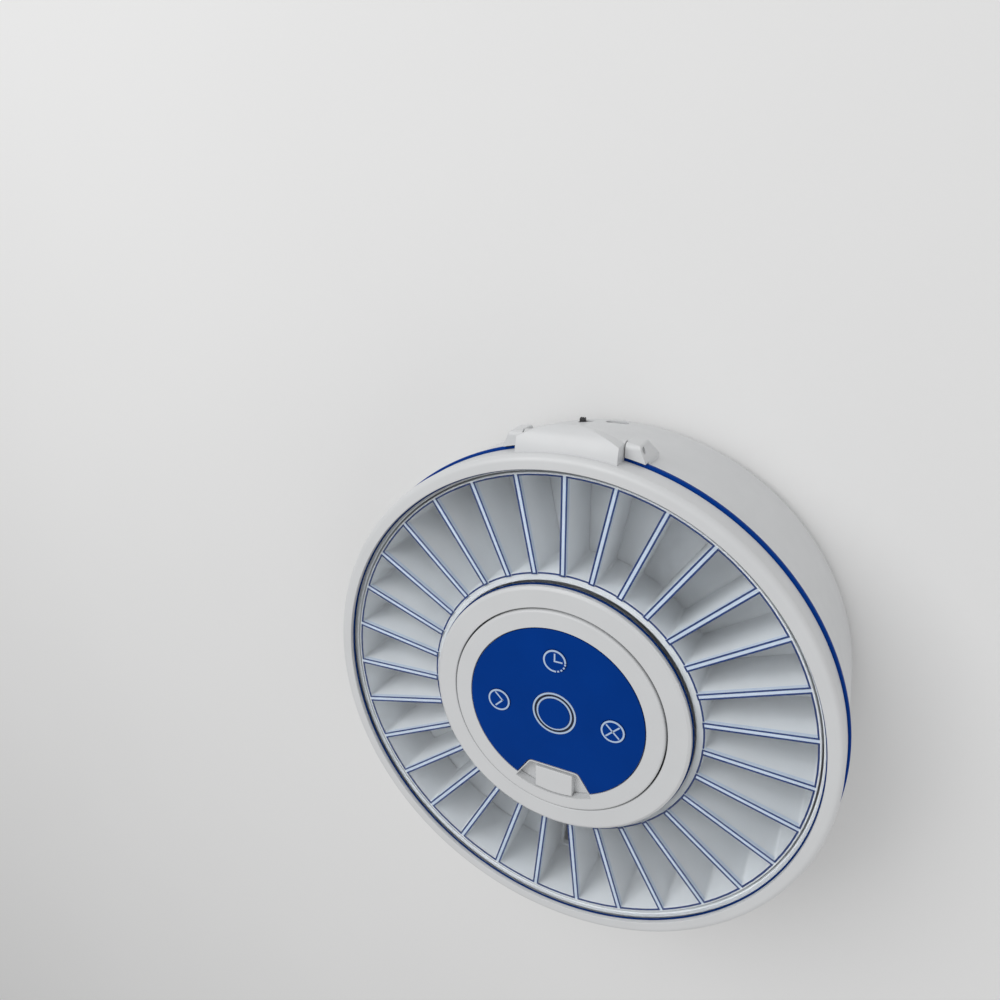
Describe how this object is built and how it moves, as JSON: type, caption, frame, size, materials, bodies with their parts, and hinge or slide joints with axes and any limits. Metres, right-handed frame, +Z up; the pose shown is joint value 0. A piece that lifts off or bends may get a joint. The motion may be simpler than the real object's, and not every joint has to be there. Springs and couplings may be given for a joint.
{
  "type": "automatic pill dispenser",
  "caption": "Round table-top pill dispenser: a clear hinged lid over a turning ring of compartments, a central button panel with a lid latch, and a front drawer that the pills drop into.",
  "frame": {"origin": "centre of the footprint, on the table under the rubber feet", "axes": "+Z up, +Y towards the lid's hinge at the rear, -Y towards the pill drawer at the front"},
  "size_m": [0.216, 0.2264, 0.0774],
  "materials": {
    "white_plastic": "fine satin moulded plastic",
    "blue_plastic": "smooth satin",
    "tray_plastic": "satin moulded plastic",
    "clear_plastic": "clear, polished",
    "light_guide": "milky, lit from below",
    "grey_plastic": "moulded plastic",
    "black_plastic": "moulded plastic",
    "gear_plastic": "plain moulded gear plastic",
    "rubber": "matt",
    "steel": "plated",
    "circuit_board": "solder mask",
    "cell_wrap": "shrink wrap"
  },
  "bodies": {
    "base": {"base_screw_1": "steel", "base_screw_2": "steel", "base_screw_3": "steel", "base_screw_4": "steel", "base_shell": "white_plastic", "battery_cell_1": "cell_wrap", "battery_cell_2": "cell_wrap", "battery_contact_front": "steel", "battery_contact_rear": "steel", "battery_cover": "white_plastic", "battery_holder": "black_plastic", "control_board": "circuit_board", "control_panel": "blue_plastic", "deck": "tray_plastic", "drawer_guide_left": "grey_plastic", "drawer_guide_right": "grey_plastic", "drop_sensor": "black_plastic", "gearmotor_can": "steel", "gearmotor_gearbox": "grey_plastic", "hinge_pin": "steel", "hub_base": "white_plastic", "hub_cover": "white_plastic", "hub_screw_1": "steel", "hub_screw_2": "steel", "hub_screw_3": "steel", "latch_spring": "steel", "light_ring": "light_guide", "main_board": "circuit_board", "panel_cable": "black_plastic", "power_switch_body": "steel", "rubber_foot_1": "rubber", "rubber_foot_2": "rubber", "rubber_foot_3": "rubber", "rubber_foot_4": "rubber", "seal_band": "blue_plastic", "speaker": "black_plastic", "tact_switch_cancel": "steel", "tact_switch_centre": "steel", "tact_switch_clock": "steel", "tact_switch_next": "steel", "usb_socket": "steel", "wireless_module": "steel"},
    "lid": {"lid_frame": "white_plastic", "lid_window": "clear_plastic", "lid_inner_ring": "white_plastic"},
    "carousel": {"carousel_tray": "tray_plastic"},
    "pinion": {"drive_pinion": "gear_plastic", "motor_shaft": "steel"},
    "latch": {"latch_slider": "white_plastic"},
    "pill_drawer": {"drawer": "white_plastic"},
    "switch_knob": {"power_switch_knob": "black_plastic"},
    "clock_button": {"button_clock": "blue_plastic", "plunger_clock": "black_plastic"},
    "next_button": {"button_next": "blue_plastic", "plunger_next": "black_plastic"},
    "cancel_button": {"button_cancel": "blue_plastic", "plunger_cancel": "black_plastic"},
    "centre_button": {"button_centre": "blue_plastic", "plunger_centre": "black_plastic"}
  },
  "joints": [
    {"name": "lid_hinge", "type": "hinge", "parent": "base", "child": "lid", "pos_m": [0, 0.10585, 0.0615], "axis": [-1, 0, 0], "range_deg": [0, 100]},
    {"name": "carousel_spin", "type": "hinge", "parent": "base", "child": "carousel", "pos_m": [0, -0.00315, 0.0437], "axis": [0, 0, 1], "continuous": true},
    {"name": "pinion_spin", "type": "hinge", "parent": "base", "child": "pinion", "pos_m": [-0.042, -0.00315, 0.0437], "axis": [0, 0, 1], "continuous": true},
    {"name": "latch_slide", "type": "slide", "parent": "base", "child": "latch", "axis": [0, 1, 0], "range_m": [0, 0.0018], "stiffness_N_per_m": 400, "springref_m": -0.002, "deforming": ["latch_spring"]},
    {"name": "drawer_slide", "type": "slide", "parent": "base", "child": "pill_drawer", "axis": [0, -1, 0], "range_m": [0, 0.042]},
    {"name": "switch_slide", "type": "slide", "parent": "base", "child": "switch_knob", "axis": [1, 0, 0], "range_m": [0, 0.003]},
    {"name": "clock_press", "type": "slide", "parent": "base", "child": "clock_button", "axis": [0, 0, -1], "range_m": [0, 0.0006], "stiffness_N_per_m": 1200, "springref_m": -0.0003},
    {"name": "next_press", "type": "slide", "parent": "base", "child": "next_button", "axis": [0, 0, -1], "range_m": [0, 0.0006], "stiffness_N_per_m": 1200, "springref_m": -0.0003},
    {"name": "cancel_press", "type": "slide", "parent": "base", "child": "cancel_button", "axis": [0, 0, -1], "range_m": [0, 0.0006], "stiffness_N_per_m": 1200, "springref_m": -0.0003},
    {"name": "centre_press", "type": "slide", "parent": "base", "child": "centre_button", "axis": [0, 0, -1], "range_m": [0, 0.0006], "stiffness_N_per_m": 1200, "springref_m": -0.0003}
  ],
  "couplings": [
    {"joint": "pinion_spin", "follows": "carousel_spin", "ratio": 5.2}
  ]
}
